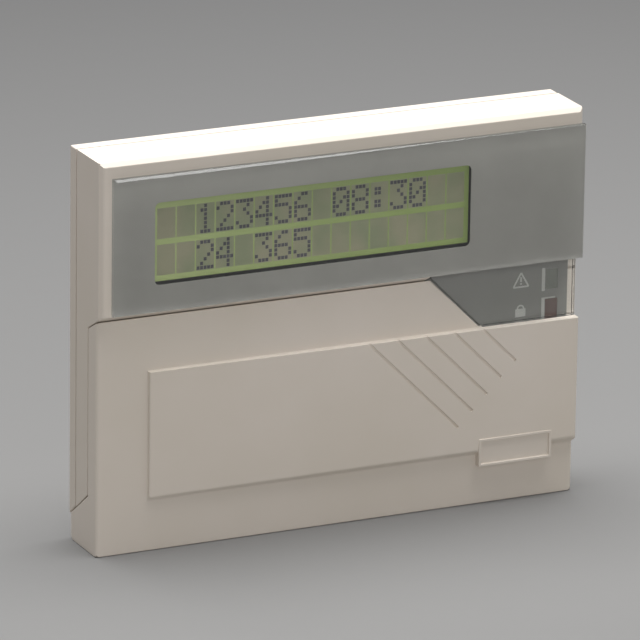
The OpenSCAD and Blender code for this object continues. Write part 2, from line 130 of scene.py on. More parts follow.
turn = look(AZIMUTH, ELEVATION, ROLL)
middle = (low + high) / 2
camera = bpy.data.objects.new("camera", bpy.data.cameras.new("camera"))
camera.data.sensor_width = FILM_WIDTH
camera.data.lens = FOCAL_LENGTH
camera.data.clip_start = 0.1
camera.data.clip_end = 20
stand = middle + turn @ Vector((SIDEWAYS * MM, UPWARDS * MM, DISTANCE))
camera.matrix_world = Matrix.Translation(stand) @ turn.to_4x4()
bpy.context.scene.collection.objects.link(camera)
bpy.context.scene.camera = camera
print("camera at", [round(v, 3) for v in stand])

# %% [markdown]
# ## Nodes in few words
#
# Each finish below is a small node tree. Three kinds of variation keep coming back: a broad
# drift of colour, a change of gloss and a fine grain in the surface. A helper for each keeps a
# finish down to the numbers that make it what it is. All of them read object coordinates, in
# metres, so a grain keeps its real size on every part.

# %% Node helpers
def finish(name, **sockets):
    """New material with a Principled shader, whose constant sockets are set here."""
    made = bpy.data.materials.new(name)
    made.use_nodes = True
    shader = made.node_tree.nodes["Principled BSDF"]
    for socket, value in sockets.items():
        shader.inputs[socket.replace("_", " ")].default_value = value
    return made


def add(made, kind, **values):
    """Adds a node, sets its properties or sockets, and returns it."""
    node = made.node_tree.nodes.new(kind)
    for key, value in values.items():
        if key in node.inputs:
            node.inputs[key].default_value = value
        else:
            setattr(node, key, value)
    return node


def link(made, out, into):
    made.node_tree.links.new(out, into)


def shader_of(made):
    return made.node_tree.nodes["Principled BSDF"]


def metres(made):
    """Object coordinates of a material, made once."""
    found = made.node_tree.nodes.get("Texture Coordinate")
    return (found or add(made, "ShaderNodeTexCoord")).outputs["Object"]


def noise(made, size_mm, detail=2.0, stretch=None):
    """Noise whose blotches are about size_mm across."""
    node = add(made, "ShaderNodeTexNoise", Scale=1 / (size_mm * MM), Detail=detail)
    source = metres(made)
    if stretch:
        mapping = add(made, "ShaderNodeMapping", Scale=stretch)
        link(made, source, mapping.inputs["Vector"])
        source = mapping.outputs["Vector"]
    link(made, source, node.inputs["Vector"])
    return node.outputs["Fac"]


def drift(made, source, dark, light, low_stop=0.35, high_stop=0.65):
    """Base colour that drifts between two near colours."""
    ramp = add(made, "ShaderNodeValToRGB")
    ends = ((low_stop, dark), (high_stop, light))
    for element, (stop, colour) in zip(ramp.color_ramp.elements, ends):
        element.position = stop
        element.color = (*colour, 1)
    link(made, source, ramp.inputs["Fac"])
    link(made, ramp.outputs["Color"], shader_of(made).inputs["Base Color"])


def gloss(made, source, shiny, dull):
    """Roughness that changes from shiny to dull with a texture."""
    spread = add(made, "ShaderNodeMapRange")
    spread.inputs["To Min"].default_value = shiny
    spread.inputs["To Max"].default_value = dull
    link(made, source, spread.inputs["Value"])
    link(made, spread.outputs["Result"], shader_of(made).inputs["Roughness"])


def grain(made, source, height_mm, strength=1.0):
    """Relief of the surface, as a bump of a real height."""
    bump = add(made, "ShaderNodeBump", Strength=strength, Distance=height_mm * MM)
    link(made, source, bump.inputs["Height"])
    link(made, bump.outputs["Normal"], shader_of(made).inputs["Normal"])


def tone(colour):
    """Linear colour from the 0 to 255 tones of a paint card."""
    return tuple(((c / 255 + 0.055) / 1.055) ** 2.4 for c in colour)


print("helpers: drift of colour, gloss and grain")

# %% [markdown]
# ## Moulded plastic
#
# The shells are injection moulded. The tool is spark eroded, which leaves a very fine, even
# grain, and the flow of the melt and years of handling leave faint clouds of colour and gloss.
# One function makes all the moulded finishes, because they differ only in colour and grain.

# %% Moulded plastics
def moulded(name, dark, light, shiny=0.42, dull=0.56, grain_mm=0.35, height_mm=0.012):
    made = finish(name, Specular_IOR_Level=0.42)
    drift(made, noise(made, 45, 3), tone(dark), tone(light))
    gloss(made, noise(made, 9, 3), shiny, dull)
    grain(made, noise(made, grain_mm, 2), height_mm, 0.6)
    return made


beige = moulded("beige_moulding", (221, 211, 198), (226, 216, 205))
key_cap = moulded("key_moulding", (226, 222, 210), (233, 229, 218), 0.34, 0.46, 0.25, 0.006)
black = moulded("black_moulding", (30, 30, 31), (40, 40, 41))
red = moulded("red_moulding", (168, 30, 26), (184, 40, 32), 0.3, 0.4)
green_block = moulded("green_moulding", (36, 104, 62), (46, 120, 72))
print("moulded finishes:", [m.name for m in bpy.data.materials if "moulding" in m.name])

# %% [markdown]
# ## Shells with real edges
#
# A moulding never has a razor edge: the tool has a small radius everywhere, and that radius is
# what catches the light. A rounding could be faked in the shader, but it would be lost when the
# model is exported. So each shell is copied from the frame, its triangles are merged back into
# whole faces, every sharp edge gets its own radius, and a Bevel modifier cuts them all at once.
# A Weighted Normal modifier then keeps the large faces flat.

# %% Shell helpers
SAME_POINT = 0.003
SAME_PLANE = math.radians(0.3)
ALONGSIDE = 0.94
FARTHEST = 1.0
ROOM_SHARE = 0.42
SHARP_EDGE = math.radians(20)
ROLL_STEPS = 3


def whole_faces(node):
    """The part's mesh with its triangles merged back into whole faces."""
    bm = bmesh.new()
    bm.from_mesh(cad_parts[node].data)
    bmesh.ops.remove_doubles(bm, verts=bm.verts, dist=SAME_POINT * MM)
    bmesh.ops.dissolve_limit(bm, angle_limit=SAME_PLANE, verts=bm.verts, edges=bm.edges)
    return bm


def free_length(edge):
    """Shortest neighbouring edge, in metres, that a rounding of this edge would eat into."""
    room = FARTHEST
    along = (edge.verts[1].co - edge.verts[0].co).normalized()
    for loop in edge.link_loops:
        for other in (loop.link_loop_prev.edge, loop.link_loop_next.edge):
            across = (other.verts[1].co - other.verts[0].co).normalized()
            if abs(across.dot(along)) < ALONGSIDE:
                room = min(room, other.calc_length())
    return room


def rounded(bm, radius_at, widest):
    """Writes on each sharp edge how far it is rounded, as a share of the widest radius."""
    weights = bm.edges.layers.float.new("bevel_weight_edge")
    count = 0
    for edge in bm.edges:
        if len(edge.link_faces) == 2 and edge.calc_face_angle() > SHARP_EDGE:
            spot = place((edge.verts[0].co + edge.verts[1].co) / 2)
            radius = min(radius_at(edge, *spot), ROOM_SHARE * free_length(edge) / MM)
            edge[weights] = max(0.0, radius) / widest
            count += 1
    return count


def piece(name, bm, made, body, slot, *stands_for):
    """Finished object from a bmesh: it rides on a body and stands for parts of the frame."""
    mesh = bpy.data.meshes.new(name)
    bm.to_mesh(mesh)
    bm.free()
    mesh.materials.append(made)
    made_piece = bpy.data.objects.new(name, mesh)
    bpy.context.scene.collection.objects.link(made_piece)
    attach(made_piece, body)
    if stands_for:
        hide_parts(*stands_for)
    return made_piece


def shell(name, node, made, body, slot, radius_at, widest, fitted=None):
    """A moulding of the frame with its edges rounded, and its corners fitted first if need be."""
    bm = whole_faces(node)
    if fitted:
        for vert in bm.verts:
            vert.co = at(*fitted(*place(vert.co)))
    count = rounded(bm, radius_at, widest)
    for face in bm.faces:
        face.smooth = True
    made_piece = piece(name, bm, made, body, slot, node)
    bevel = made_piece.modifiers.new("rounding", "BEVEL")
    bevel.limit_method = "WEIGHT"
    bevel.width = widest * MM
    bevel.segments = ROLL_STEPS
    bevel.use_clamp_overlap = False
    bevel.miter_outer = "MITER_SHARP"
    normals = made_piece.modifiers.new("flat_faces", "WEIGHTED_NORMAL")
    normals.keep_sharp = False
    print(name, "has", count, "rounded edges")
    return made_piece


# %% [markdown]
# ## The door
#
# The door's outer edges have a radius of about 0.5 mm. The raised panel's lower edge is much
# softer than its ridge, and the grooves and the frame of the badge plate are crisp. The radius
# of an edge is looked up from where the edge lies.

# %% Door
DOOR = span("door")
PANEL_RISE = 2.3
DOOR_FACE = DOOR[3] - PANEL_RISE
RIDGE = 54.0
PANEL_FOOT = 17.0
GROOVE_FOOT = 22
GROOVE_FLOOR = 20.2
GROOVE_END = 1.2
SKIN = 20
BADGE_AREA = (44, 68.5, 11.5, 21)
GROOVE_AREA = (5, 75, GROOVE_FOOT, RIDGE - 0.01)
SOFTEST = 0.9


def within(area, x, up):
    """Whether a place lies in an area (x0, x1, up0, up1)."""
    return area[0] < x < area[1] and area[2] < up < area[3]


def door_radius(edge, x, out, up):
    run = edge.verts[0].co - edge.verts[1].co
    slanting = abs(run.x) > 0.2 * run.length
    groove = out > GROOVE_FLOOR and within(GROOVE_AREA, x, up) and slanting
    groove_end = up > GROOVE_FOOT and out > SKIN and edge.calc_length() < GROOVE_END * MM
    if out > DOOR_FACE - 0.1 and within(BADGE_AREA, x, up):
        return 0.16
    if out > DOOR_FACE + 0.1 and up > RIDGE - 0.5:
        return 0.18
    if groove or groove_end:
        return 0.1
    if PANEL_FOOT - 2 < up < PANEL_FOOT + 0.5 and out > DOOR_FACE - 0.1:
        return SOFTEST
    if out > DOOR_FACE - 0.8:
        return 0.8 if up < 1 else 0.5
    return 0.25


shell("door_shell", "door", beige, "door", "housing_plastic", door_radius, SOFTEST)

# %% [markdown]
# ## The housing and the back plate
#
# The housing's side corners are cut back by a chamfer whose two edges are themselves rounded, so
# the corner reads as one soft turn. The chamfer along the top is crisp. The seam between the two
# mouldings stays nearly square, because the tool halves meet there, and a gap of half a
# millimetre is left open at it, deep enough to hold a dark line of shadow.

# %% Housing and back plate
HOUSING = span("front_housing")
BACK = span("back_plate")
SEAM = BACK[3]
CORNER = 2
SHELL_ROLL = 0.6
HOUSING_GIVES = 0.3
BACK_GIVES = 0.2


def outer(x, up, margin):
    """Whether a place lies on the outline of the two mouldings."""
    return abs(x) > PANEL_W / 2 - margin or up > HOUSING[5] - margin


def housing_radius(edge, x, out, up):
    if out > HOUSING[3] - CORNER and abs(x) > PANEL_W / 2 - CORNER:
        return 0.45
    if out > HOUSING[3] - CORNER and up > HOUSING[5] - CORNER:
        return 0.15
    if out < SEAM + 1:
        return 0.12
    return 0.35 if out > HOUSING[3] - 0.3 else 0.2


def back_radius(edge, x, out, up):
    return 0.12 if out > SEAM - 1 else 0.35


def open_seam(towards):
    """Moves the outline at the seam, so that a shadow gap stays between the mouldings."""
    def fitted(x, out, up):
        if abs(out - SEAM) < 0.05 and outer(x, up, 0.05):
            out += towards
        return x, out, up
    return fitted


shell("housing_shell", "front_housing", beige, "housing", "housing_plastic",
      housing_radius, SHELL_ROLL, fitted=open_seam(HOUSING_GIVES))
shell("back_shell", "back_plate", beige, "housing", "housing_plastic",
      back_radius, SHELL_ROLL, fitted=open_seam(-BACK_GIVES))

# %% [markdown]
# ## The clear lens
#
# The lens is one acrylic moulding, about 2 mm thick over the display and 1 mm over the status
# lights. Acrylic bends light about as much as a thin window does, so it gets a transmitting
# shader with an index of 1.49. Handling leaves a faint haze, which is a change of roughness.
# Real acrylic throws hardly any shadow, and a path tracer is slow at finding light through it,
# so its shadow is switched off.

# %% Lens
def acrylic():
    made = finish("clear_acrylic", IOR=1.49, Transmission_Weight=1.0, Specular_IOR_Level=0.25)
    drift(made, noise(made, 30, 2), (0.93, 0.94, 0.93), (0.955, 0.96, 0.955))
    gloss(made, noise(made, 6, 4), 0.01, 0.03)
    grain(made, noise(made, 40, 1), 0.01, 0.1)
    return made


LENS = span("display_lens")
LENS_FRONT = 1.2
LENS_ROLL = 0.3


def lens_radius(edge, x, out, up):
    return 0.22 if out > LENS[3] - LENS_FRONT else 0.12


clear = acrylic()
lens = shell("lens_moulding", "display_lens", clear, "housing", "smoked_lens",
             lens_radius, LENS_ROLL)
lens.visible_shadow = False

# %% [markdown]
# ## Printing behind the lens
#
# The grey mask is screen printed on the back of the lens, so there is no air between the two.
# The printed layer therefore starts a hair inside the lens: a ray that enters the lens meets ink
# before it meets the back face. Over the display the ink runs nearly to the edges of the lens.
# The white signs are printed first, nearer to the eye. A warning triangle stands beside the upper
# light and a padlock beside the lower one. Screen ink is even, with a slight orange peel.

# %% Flat printing helpers
INK_STEP = 0.02


def ink(name, dark, light, dull=0.6):
    made = finish(name, Specular_IOR_Level=0.3)
    drift(made, noise(made, 12, 2), tone(dark), tone(light))
    gloss(made, noise(made, 3, 2), dull - 0.08, dull)
    grain(made, noise(made, 0.5, 1), 0.002, 0.4)
    return made


def prism(bm, outline, out, thick):
    """Thin closed plate over an outline of (x, up) points, standing on a face."""
    backs = [bm.verts.new(at(x, out, up)) for x, up in outline]
    fronts = [bm.verts.new(at(x, out + thick, up)) for x, up in outline]
    count = len(outline)
    bm.faces.new(fronts)
    bm.faces.new(backs[::-1])
    for i in range(count):
        bm.faces.new((backs[i], backs[(i + 1) % count], fronts[(i + 1) % count], fronts[i]))


def bar(x0, up0, x1, up1):
    return [(x0, up0), (x1, up0), (x1, up1), (x0, up1)]


def stroke(a, b, width):
    """Outline of a straight stroke between two points."""
    ax, ay = a
    bx, by = b
    length = math.hypot(bx - ax, by - ay)
    px, py = (ay - by) / length * width / 2, (bx - ax) / length * width / 2
    return [(ax + px, ay + py), (ax - px, ay - py), (bx - px, by - py), (bx + px, by + py)]


def arc(cx, cy, r, start, end, count=16):
    """Points on a circle between two angles in degrees."""
    turns = [math.radians(start + (end - start) * i / count) for i in range(count + 1)]
    return [(cx + r * math.cos(t), cy + r * math.sin(t)) for t in turns]


def ring_band(cx, cy, r, width, start, end):
    """Quads of a curved stroke, each convex."""
    inner = arc(cx, cy, r - width / 2, start, end)
    outer = arc(cx, cy, r + width / 2, start, end)
    quads = zip(inner, outer, outer[1:], inner[1:])
    return [list(quad) for quad in quads]


def printed(name, outlines, out, made, body, slot):
    """A printed sign made of flat outlines."""
    bm = bmesh.new()
    for outline in outlines:
        prism(bm, outline, out, INK_STEP)
    bmesh.ops.recalc_face_normals(bm, faces=bm.faces)
    return piece(name, bm, made, body, slot)


# %% Mask behind the lens
MASK = span("lens_mask")
LENS_STEP = 72.6
THIN_FACE = MASK[2]
THICK_FACE = MASK[3]
COAT = 0.2
OVER_DISPLAY = 0.3
EDGE_ZONE = 0.05
STEP_ZONE = 2
WINDOW_SIDE_ZONE = 16
WINDOW_FOOT_ZONE = 11
PRINT_EDGE = 0.15
WINDOW_LEFT = 0.7
WINDOW_FOOT = 0.5


def print_over_display(x, up):
    """Where a corner of the mask's thick part goes: out to the lens's edge, or to the window's."""
    if x < MASK[0] + EDGE_ZONE:
        x = LENS[0] + PRINT_EDGE
    elif x > MASK[1] - EDGE_ZONE:
        x = LENS[1] - PRINT_EDGE
    elif x < MASK[0] + WINDOW_SIDE_ZONE:
        x -= WINDOW_LEFT
    if up > MASK[5] - EDGE_ZONE:
        up = LENS[5] - PRINT_EDGE
    elif up < LENS_STEP + STEP_ZONE:
        up = LENS_STEP + PRINT_EDGE
    elif up < LENS_STEP + WINDOW_FOOT_ZONE:
        up -= WINDOW_FOOT
    return x, up


mask_bm = whole_faces("lens_mask")
for vert in mask_bm.verts:
    x, out, up = place(vert.co)
    if out > THICK_FACE - OVER_DISPLAY:
        x, up = print_over_display(x, up)
    if min(abs(out - THICK_FACE), abs(out - THIN_FACE - COAT)) < INK_STEP:
        out += INK_STEP
    vert.co = at(x, out, up)
grey_ink = ink("grey_ink", (146, 145, 140), (150, 149, 144))
piece("lens_print", mask_bm, grey_ink, "housing", "grey_print", "lens_mask")
print("mask printed to", PRINT_EDGE, "mm from the lens's edges")

# %% Signs beside the status lights
LIGHTS = [span("trouble_light_pipe"), span("armed_light_pipe")]
SIGN_OUT = THIN_FACE + COAT + INK_STEP
SIGN_SINK = 0.005
SIGN_SIZE = 4.6
SIGN_LEFT = 7.5
SIGN_RAISE = 0.6
LIGHT_EDGE_H = 7.0
pale_ink = ink("pale_ink", (208, 207, 202), (214, 213, 208))


def warning_sign(x, up, size):
    """Triangle outline with an exclamation mark."""
    corners = arc(x, up - 0.12 * size, 0.62 * size, 90, 450, 3)[:3]
    edges = [stroke(corners[i], corners[(i + 1) % 3], 0.11 * size) for i in range(3)]
    mark = [bar(x - 0.06 * size, up - 0.1 * size, x + 0.06 * size, up + 0.22 * size)]
    dot = [bar(x - 0.06 * size, up - 0.28 * size, x + 0.06 * size, up - 0.17 * size)]
    return edges + mark + dot


def padlock_sign(x, up, size):
    """Closed padlock."""
    case = [bar(x - 0.36 * size, up - 0.45 * size, x + 0.36 * size, up + 0.08 * size)]
    return case + ring_band(x, up + 0.08 * size, 0.22 * size, 0.1 * size, 0, 180)


signs = []
for (x0, x1, _, _, up0, up1), sign in zip(LIGHTS, (warning_sign, padlock_sign)):
    mid_up = (up0 + up1) / 2
    signs += sign(x0 - SIGN_LEFT, mid_up + SIGN_RAISE, SIGN_SIZE)
    # A pale strip runs up the left side of each light, and a short one lies along the top of the
    # lower light only.
    signs.append(bar(x0 - 0.7, mid_up - LIGHT_EDGE_H / 2, x0 + 0.3, mid_up + LIGHT_EDGE_H / 2))
armed_left, armed_top = LIGHTS[1][0], LIGHTS[1][5]
signs.append(bar(armed_left + 0.3, armed_top - 0.6, armed_left + 3.7, armed_top - 0.2))
printed("light_signs", signs, SIGN_OUT - SIGN_SINK, pale_ink, "housing", "grey_print")
print("signs beside the lights:", len(signs), "outlines")

# %% [markdown]
# ## The block over the status lights
#
# In front of the thin part of the lens the notch above the door's ridge is filled with clear
# acrylic, nearly flush with the door. Light is bent in it, so the grey print seems to run right
# down to the ridge. The block follows the notch: upright at the right, slanting at the left
# beside the door's cut corner.

# %% Block over the status lights
LENS_THIN = 17.2
CUT_FOOT_X = 45.0
RIDGE_GAP = 0.35
BLOCK_BACK = LENS_THIN + 0.01
BLOCK_FRONT = 20.7
BLOCK_ROLL = 0.2
NOTCH_LEFT = 28.4
NOTCH_RIGHT = LENS[1] - 0.8
NOTCH_FOOT = RIDGE + RIDGE_GAP
NOTCH_TOP = LENS_STEP - 0.05
slant = CUT_FOOT_X + RIDGE_GAP - NOTCH_LEFT
notch = [(CUT_FOOT_X + RIDGE_GAP, NOTCH_FOOT), (NOTCH_RIGHT, NOTCH_FOOT),
         (NOTCH_RIGHT, NOTCH_TOP), (NOTCH_LEFT, NOTCH_TOP), (NOTCH_LEFT, NOTCH_FOOT + slant)]
block_bm = bmesh.new()
prism(block_bm, notch, BLOCK_BACK, BLOCK_FRONT - BLOCK_BACK)
bmesh.ops.recalc_face_normals(block_bm, faces=block_bm.faces)
block = piece("status_window_block", block_bm, clear, "housing", "smoked_lens")
block.visible_shadow = False
roll = block.modifiers.new("rounding", "BEVEL")
roll.width = BLOCK_ROLL * MM
roll.segments = 2
print("block", round(BLOCK_FRONT - BLOCK_BACK, 2), "mm thick")

# %% [markdown]
# ## The display
#
# A reflective-and-backlit character display is a sheet of yellow-green glass with 32 faintly
# darker cells, because even an unlit dot absorbs some light. The lit dots are nearly black. The
# text is plain digits, laid out as five by seven dots, and the dot pattern of each digit is
# drawn here, one word per row of dots.
# The backlight is not lit. The faint glow of the glass in its own colour is painted light, which
# keeps the window's shade off the display.

# %% Display glass
PALE_END = -62
DEEP_END = 43
CLOUDING = 0.35


def display_green_painted_glow():
    # The emission is painted light: a glow in the glass's own colour that lifts the shade of the
    # deep window.
    made = finish("display_green_painted_glow", Specular_IOR_Level=0.35, Emission_Strength=0.22)
    # The green is paler at the left end of the glass and deeper at the right, with faint clouds.
    spread = add(made, "ShaderNodeMapRange")
    spread.inputs["From Min"].default_value = PALE_END * MM
    spread.inputs["From Max"].default_value = DEEP_END * MM
    split = add(made, "ShaderNodeSeparateXYZ")
    link(made, metres(made), split.inputs["Vector"])
    link(made, split.outputs["X"], spread.inputs["Value"])
    cloud = add(made, "ShaderNodeMath", operation="MULTIPLY_ADD")
    cloud.inputs[1].default_value = CLOUDING
    link(made, noise(made, 14, 3), cloud.inputs[0])
    link(made, spread.outputs["Result"], cloud.inputs[2])
    drift(made, cloud.outputs["Value"], tone((146, 158, 108)), tone((122, 138, 82)), 0.1, 1.2)
    # The painted glow takes the same drifting green.
    ramp = next(n for n in made.node_tree.nodes if n.type == "VALTORGB")
    link(made, ramp.outputs["Color"], shader_of(made).inputs["Emission Color"])
    gloss(made, noise(made, 8, 2), 0.12, 0.2)
    return made


def dress(made, *nodes):
    """Gives a finish to parts of the frame that keep their own shape."""
    for node in nodes:
        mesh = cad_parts[node].data
        mesh.materials.clear()
        mesh.materials.append(made)
    print(made.name, "on", ", ".join(nodes))


dress(display_green_painted_glow(), "lcd_glass")

# %% Cells and dots
DIGIT_DOTS = {
    "0": "01110 10001 10011 10101 11001 10001 01110",
    "1": "00100 01100 00100 00100 00100 00100 01110",
    "2": "01110 10001 00001 00010 00100 01000 11111",
    "3": "11111 00010 00100 00010 00001 10001 01110",
    "4": "00010 00110 01010 10010 11111 00010 00010",
    "5": "11111 10000 11110 00001 00001 10001 01110",
    "6": "00110 01000 10000 11110 10001 10001 01110",
    "7": "11111 00001 00010 00100 01000 01000 01000",
    "8": "01110 10001 10001 01110 10001 10001 01110",
    "9": "01110 10001 10001 01111 00001 00010 01100",
    ":": "00000 01100 01100 00000 01100 01100 00000",
    " ": "00000 00000 00000 00000 00000 00000 00000",
}
LINES = ["  123456 08:30", "  24 365"]
COLUMNS = 16
CELL_PITCH = 6.05
CELL_W = 5.62
CELL_H = 9.05
LINE_PITCH = 10.75
DOT_PITCH_X = 1.09
DOT_PITCH_UP = 1.26
DOT_W = 0.9
DOT_H = 1.0
FIRST_DOT_X = 0.18
FIRST_DOT_DOWN = 0.24
TEXT_SHIFT = 0.1
TEXT_DROP = 0.6

GLASS = span("lcd_glass")
glass_mid_x = (GLASS[0] + GLASS[1]) / 2 + TEXT_SHIFT
glass_mid_up = (GLASS[4] + GLASS[5]) / 2 - TEXT_DROP
cells, dots = [], []
for line, text in enumerate(LINES):
    top = glass_mid_up + CELL_H / 2 + LINE_PITCH * (0.5 - line)
    for column, sign in enumerate(text.ljust(COLUMNS)):
        left = glass_mid_x + (column - COLUMNS // 2) * CELL_PITCH + (CELL_PITCH - CELL_W) / 2
        cells.append(bar(left, top - CELL_H, left + CELL_W, top))
        for row, word in enumerate(DIGIT_DOTS[sign].split()):
            for spot, lit in enumerate(word):
                if lit == "1":
                    x = left + FIRST_DOT_X + spot * DOT_PITCH_X
                    up = top - FIRST_DOT_DOWN - row * DOT_PITCH_UP
                    dots.append(bar(x, up - DOT_H, x + DOT_W, up))

cell_ink = ink("unlit_cell", (128, 134, 106), (144, 142, 118), 0.35)
dot_ink = ink("lit_dot", (70, 69, 76), (78, 77, 84), 0.3)
printed("display_cells", cells, GLASS[3], cell_ink, "housing", "display_glass")
printed("display_dots", dots, GLASS[3] + INK_STEP, dot_ink, "housing", "display_glass")
print("display:", len(cells), "cells,", len(dots), "lit dots")

# %% [markdown]
# ## The keys
#
# Each key is one small moulding: a cap with softly rounded edges and a shallow dish for the
# fingertip, a flange that stops it from falling out, and a stem that presses the rubber mat. A
# stack of rings, each a rectangle with rounded corners, is skinned from the stem to the dish.
# One ring function then makes the round stem and the square flange too. The floor of the dish is
# flat, so that printing lies well on it.

# %% Ring helpers
FLANGE_RIM = 1.2
FLANGE_FRONT = 13.0
FLANGE_BACK = 12.0
STEM_R = 2.6
CAP_R = 1.2
CAP_ROLL = 0.55
DISH = 0.22
DISH_EDGE = 2.15
FLANGE_R = 0.6
BREAK = 0.15
CREASE = math.radians(38)


def ring(bm, x, up, width, height, r, out):
    """Points round a rectangle with rounded corners."""
    spots = []
    for sx, sy, start in ((1, 1, 0), (-1, 1, 90), (-1, -1, 180), (1, -1, 270)):
        spots += arc(x + sx * (width / 2 - r), up + sy * (height / 2 - r), r, start, start + 90, 6)
    return [bm.verts.new(at(px, out, pup)) for px, pup in spots]


def skin(bm, rings):
    """Closes a stack of rings into one solid."""
    for a, b in zip(rings, rings[1:]):
        for i in range(len(a)):
            j = (i + 1) % len(a)
            bm.faces.new((a[i], a[j], b[j], b[i]))
    bm.faces.new(rings[0][::-1])
    bm.faces.new(rings[-1])


def smooth_but_sharp(bm):
    """Smooth shading, with a crease at every edge that turns sharply."""
    bmesh.ops.remove_doubles(bm, verts=bm.verts, dist=0.0005 * MM)
    bmesh.ops.recalc_face_normals(bm, faces=bm.faces)
    for face in bm.faces:
        face.smooth = True
    for edge in bm.edges:
        if len(edge.link_faces) == 2 and edge.calc_face_angle(0) > CREASE:
            edge.smooth = False


# %% Key caps
def key_solid(node):
    x0, x1, foot, top, up0, up1 = span(node)
    x, up = (x0 + x1) / 2, (up0 + up1) / 2
    wide, tall = x1 - x0, up1 - up0
    cap_w, cap_h = wide - 2 * FLANGE_RIM, tall - 2 * FLANGE_RIM
    bm = bmesh.new()
    stack = [(2 * STEM_R - 0.5, 2 * STEM_R - 0.5, STEM_R - 0.25, foot)]
    stack += [(2 * STEM_R, 2 * STEM_R, STEM_R, out) for out in (foot + 0.25, FLANGE_BACK)]
    stack.append((wide - 2 * BREAK, tall - 2 * BREAK, 0.5, FLANGE_BACK))
    stack += [(wide, tall, FLANGE_R, out) for out in (FLANGE_BACK + BREAK, FLANGE_FRONT - BREAK)]
    stack.append((wide - 2 * BREAK, tall - 2 * BREAK, 0.5, FLANGE_FRONT))
    stack.append((cap_w, cap_h, CAP_R, FLANGE_FRONT))
    for step in range(5):
        lean = math.pi / 2 * step / 4
        inset = CAP_ROLL * (1 - math.cos(lean))
        level = top - CAP_ROLL + CAP_ROLL * math.sin(lean)
        stack.append((cap_w - 2 * inset, cap_h - 2 * inset, CAP_R - inset, level))
    for inset in (0.9, 1.5, DISH_EDGE):
        fall = DISH * math.sin(math.pi / 2 * (inset - CAP_ROLL) / (DISH_EDGE - CAP_ROLL))
        r = max(CAP_R - inset, 0.35)
        stack.append((cap_w - 2 * inset, cap_h - 2 * inset, r, top - fall))
    skin(bm, [ring(bm, x, up, *one) for one in stack])
    smooth_but_sharp(bm)
    return bm


KEYS = [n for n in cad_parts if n.startswith("key_") and n not in ("key_mat", "key_contacts")]
for node in KEYS:
    piece(node + "_moulding", key_solid(node), key_cap, node + "_cap", "key_plastic", node)
print("keys:", len(KEYS))

# %% [markdown]
# ## Signs on the keys
#
# The keys are pad printed. Digits come from Blender's own built-in font: a text object is turned
# into a mesh, stood up and laid in the dish. The other keys carry plain signs instead of words,
# each drawn from a few short outlines round its middle.

# %% Sign outlines
def moved(outlines, x, up):
    return [[(x + a, up + b) for a, b in outline] for outline in outlines]


def mirrored(half):
    """Closed outline from its right half, listed from top to bottom."""
    return half + [(-a, b) for a, b in half[::-1] if a]


FLAME = [(0.1, 2.0), (0.9, 0.9), (0.8, 0.3), (1.2, 0.6), (1.5, -0.4), (1.1, -1.4), (0.4, -1.9),
         (-0.5, -1.9), (-1.2, -1.3), (-1.4, -0.4), (-1.0, 0.6), (-0.6, 0.1), (-0.4, 1.0)]
PLUS = [(0.55, 1.7), (0.55, 0.55), (1.7, 0.55), (1.7, -0.55), (0.55, -0.55), (0.55, -1.7),
        (-0.55, -1.7), (-0.55, -0.55), (-1.7, -0.55), (-1.7, 0.55), (-0.55, 0.55), (-0.55, 1.7)]
HOUSE = mirrored([(0, 1.9), (2.1, 0.1), (1.5, 0.1), (1.5, -1.7), (0.45, -1.7), (0.45, -0.5)])
BELL = mirrored([(0, 1.9), (0.7, 1.6), (1.05, 0.9), (1.15, -0.4), (1.7, -1.1), (1.7, -1.35)])
KEY_SIGNS = {
    "fire": [FLAME],
    "aid": [PLUS],
    "panic": warning_sign(0, -0.1, 3.9),
    "stay": [HOUSE],
    "away": [bar(-2.4, -1.7, -1.9, 1.7), bar(-1.9, 1.25, -0.2, 1.7), bar(-1.9, -1.7, -0.2, -1.25),
             bar(-1.1, -0.28, 1.0, 0.28), [(0.9, 1.1), (0.9, -1.1), (2.4, 0)]],
    "chime": [BELL, bar(-0.45, -1.85, 0.45, -1.5)],
    "bypass": [[(-2.0, 1.3), (-2.0, -1.3), (-0.2, 0)], [(-0.2, 1.3), (-0.2, -1.3), (1.6, 0)],
               bar(1.6, -1.3, 2.1, 1.3)],
    "left": [[(1.0, 1.5), (-1.5, 0), (1.0, -1.5)]],
    "right": [[(-1.0, 1.5), (-1.0, -1.5), (1.5, 0)]],
    "enter": [bar(1.5, -0.9, 2.0, 1.4), bar(-0.9, -0.9, 1.5, -0.4),
              [(-0.8, 0.5), (-2.2, -0.65), (-0.8, -1.8)]],
    "exit": [stroke((-1.3, 1.3), (1.3, -1.3), 0.6), stroke((-1.3, -1.3), (1.3, 1.3), 0.6)],
    "star": [stroke((0, -1.5), (0, 1.5), 0.42), stroke((-1.3, -0.75), (1.3, 0.75), 0.42),
             stroke((-1.3, 0.75), (1.3, -0.75), 0.42)],
    "hash": [stroke((-0.75, -1.6), (-0.35, 1.6), 0.4), stroke((0.35, -1.6), (0.75, 1.6), 0.4),
             bar(-1.5, 0.35, 1.5, 0.75), bar(-1.5, -0.75, 1.5, -0.35)],
}


DIGIT_SIZE = 5.2
DIGIT_DROP = 1.8


def digit_solid(digit, x, up, out):
    """Digit of the built-in font as a thin solid."""
    words = bpy.data.curves.new("digit", "FONT")
    words.body = digit
    words.size = DIGIT_SIZE * MM
    words.extrude = INK_STEP * MM
    words.align_x = "CENTER"
    stand_in = bpy.data.objects.new("digit", words)
    bpy.context.scene.collection.objects.link(stand_in)
    ready = stand_in.evaluated_get(bpy.context.evaluated_depsgraph_get())
    flat = bpy.data.meshes.new_from_object(ready)
    bm = bmesh.new()
    bm.from_mesh(flat)
    bpy.data.objects.remove(stand_in)
    bpy.data.meshes.remove(flat)
    bmesh.ops.remove_doubles(bm, verts=bm.verts, dist=0.001 * MM)
    upright = Matrix.Rotation(math.pi / 2, 4, "X")
    bm.transform(Matrix.Translation(at(x, out, up - DIGIT_DROP)) @ upright)
    return bm


